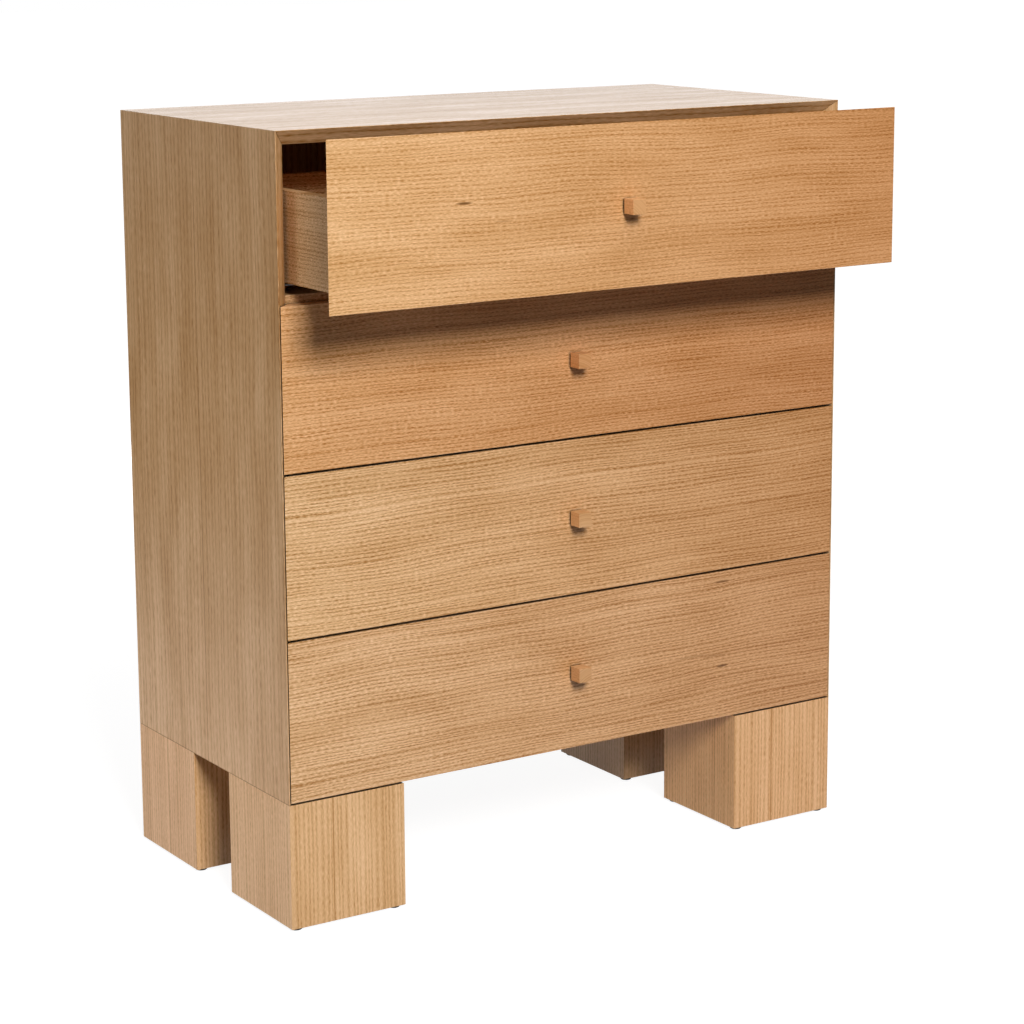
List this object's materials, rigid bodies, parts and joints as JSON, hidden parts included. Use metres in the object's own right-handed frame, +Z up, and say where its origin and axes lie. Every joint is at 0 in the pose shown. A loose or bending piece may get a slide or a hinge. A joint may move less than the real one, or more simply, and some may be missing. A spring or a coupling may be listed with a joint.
{
  "type": "chest of drawers",
  "caption": "Oak chest of drawers: a mitred box with full-width drawer fronts and small square knobs, standing on large square block legs, the top drawer ajar.",
  "frame": {"origin": "on the floor, under the centre of the box round the whole chest at rest, with the top drawer standing open by 125 mm", "axes": "+Z up, -Y out of the drawer fronts, +X to the right seen from the front"},
  "size_m": [0.9, 0.599, 1.05],
  "materials": {
    "oak_top": "clear matt lacquer on oak veneer, grain along X",
    "oak_side": "clear matt lacquer on oak veneer, upright grain",
    "oak_bottom": "clear matt lacquer on oak veneer, grain along X",
    "oak_back": "thin clear lacquer on oak veneer, upright grain",
    "oak_rail": "clear matt lacquer on oak veneer, grain along X",
    "oak_leg": "clear matt lacquer on oak, upright grain",
    "oak_front": "clear matt lacquer on oak veneer, grain along X",
    "oak_knob": "clear matt lacquer on solid oak",
    "oak_box": "clear lacquer on oak-veneered plywood, grain along each wall",
    "oak_box_bottom": "clear lacquer on oak-veneered plywood, grain along X",
    "runner_steel": "bright zinc plate",
    "screw_steel": "zinc plate",
    "glide_black": "moulded, satin"
  },
  "bodies": {
    "carcass": {"bottom_panel": "oak_bottom", "right_panel": "oak_side", "top_panel": "oak_top", "left_panel": "oak_side", "back_panel": "oak_back", "back_screws": "screw_steel", "front_rail_1": "oak_rail", "front_rail_2": "oak_rail", "front_rail_3": "oak_rail", "leg_front_left": "oak_leg", "leg_front_right": "oak_leg", "leg_rear_left": "oak_leg", "leg_rear_right": "oak_leg", "leg_bolts": "screw_steel", "glides": "glide_black", "runner_rails_1": "runner_steel", "runner_rails_2": "runner_steel", "runner_rails_3": "runner_steel", "runner_rails_4": "runner_steel", "runner_screws": "screw_steel"},
    "runner_1": {"runner_middles_1": "runner_steel"},
    "runner_2": {"runner_middles_2": "runner_steel"},
    "runner_3": {"runner_middles_3": "runner_steel"},
    "runner_4": {"runner_middles_4": "runner_steel"},
    "drawer_1": {"drawer_1_left_side": "oak_box", "drawer_1_right_side": "oak_box", "drawer_1_box_front": "oak_box", "drawer_1_back": "oak_box", "drawer_1_bottom": "oak_box_bottom", "drawer_1_front": "oak_front", "drawer_1_knob": "oak_knob", "drawer_1_screws": "screw_steel", "drawer_1_slides": "runner_steel"},
    "drawer_2": {"drawer_2_left_side": "oak_box", "drawer_2_right_side": "oak_box", "drawer_2_box_front": "oak_box", "drawer_2_back": "oak_box", "drawer_2_bottom": "oak_box_bottom", "drawer_2_front": "oak_front", "drawer_2_knob": "oak_knob", "drawer_2_screws": "screw_steel", "drawer_2_slides": "runner_steel"},
    "drawer_3": {"drawer_3_left_side": "oak_box", "drawer_3_right_side": "oak_box", "drawer_3_box_front": "oak_box", "drawer_3_back": "oak_box", "drawer_3_bottom": "oak_box_bottom", "drawer_3_front": "oak_front", "drawer_3_knob": "oak_knob", "drawer_3_screws": "screw_steel", "drawer_3_slides": "runner_steel"},
    "drawer_4": {"drawer_4_left_side": "oak_box", "drawer_4_right_side": "oak_box", "drawer_4_box_front": "oak_box", "drawer_4_back": "oak_box", "drawer_4_bottom": "oak_box_bottom", "drawer_4_front": "oak_front", "drawer_4_knob": "oak_knob", "drawer_4_screws": "screw_steel", "drawer_4_slides": "runner_steel"}
  },
  "joints": [
    {"name": "drawer_1_slide", "type": "slide", "parent": "carcass", "child": "drawer_1", "axis": [0, -1, 0], "range_m": [-0.125, 0.175]},
    {"name": "runner_1_slide", "type": "slide", "parent": "carcass", "child": "runner_1", "axis": [0, -1, 0], "range_m": [-0.0625, 0.0875]},
    {"name": "drawer_2_slide", "type": "slide", "parent": "carcass", "child": "drawer_2", "axis": [0, -1, 0], "range_m": [0, 0.3]},
    {"name": "runner_2_slide", "type": "slide", "parent": "carcass", "child": "runner_2", "axis": [0, -1, 0], "range_m": [0, 0.15]},
    {"name": "drawer_3_slide", "type": "slide", "parent": "carcass", "child": "drawer_3", "axis": [0, -1, 0], "range_m": [0, 0.3]},
    {"name": "runner_3_slide", "type": "slide", "parent": "carcass", "child": "runner_3", "axis": [0, -1, 0], "range_m": [0, 0.15]},
    {"name": "drawer_4_slide", "type": "slide", "parent": "carcass", "child": "drawer_4", "axis": [0, -1, 0], "range_m": [0, 0.3]},
    {"name": "runner_4_slide", "type": "slide", "parent": "carcass", "child": "runner_4", "axis": [0, -1, 0], "range_m": [0, 0.15]}
  ],
  "couplings": [
    {"joint": "runner_1_slide", "follows": "drawer_1_slide", "ratio": 0.5},
    {"joint": "runner_2_slide", "follows": "drawer_2_slide", "ratio": 0.5},
    {"joint": "runner_3_slide", "follows": "drawer_3_slide", "ratio": 0.5},
    {"joint": "runner_4_slide", "follows": "drawer_4_slide", "ratio": 0.5}
  ]
}
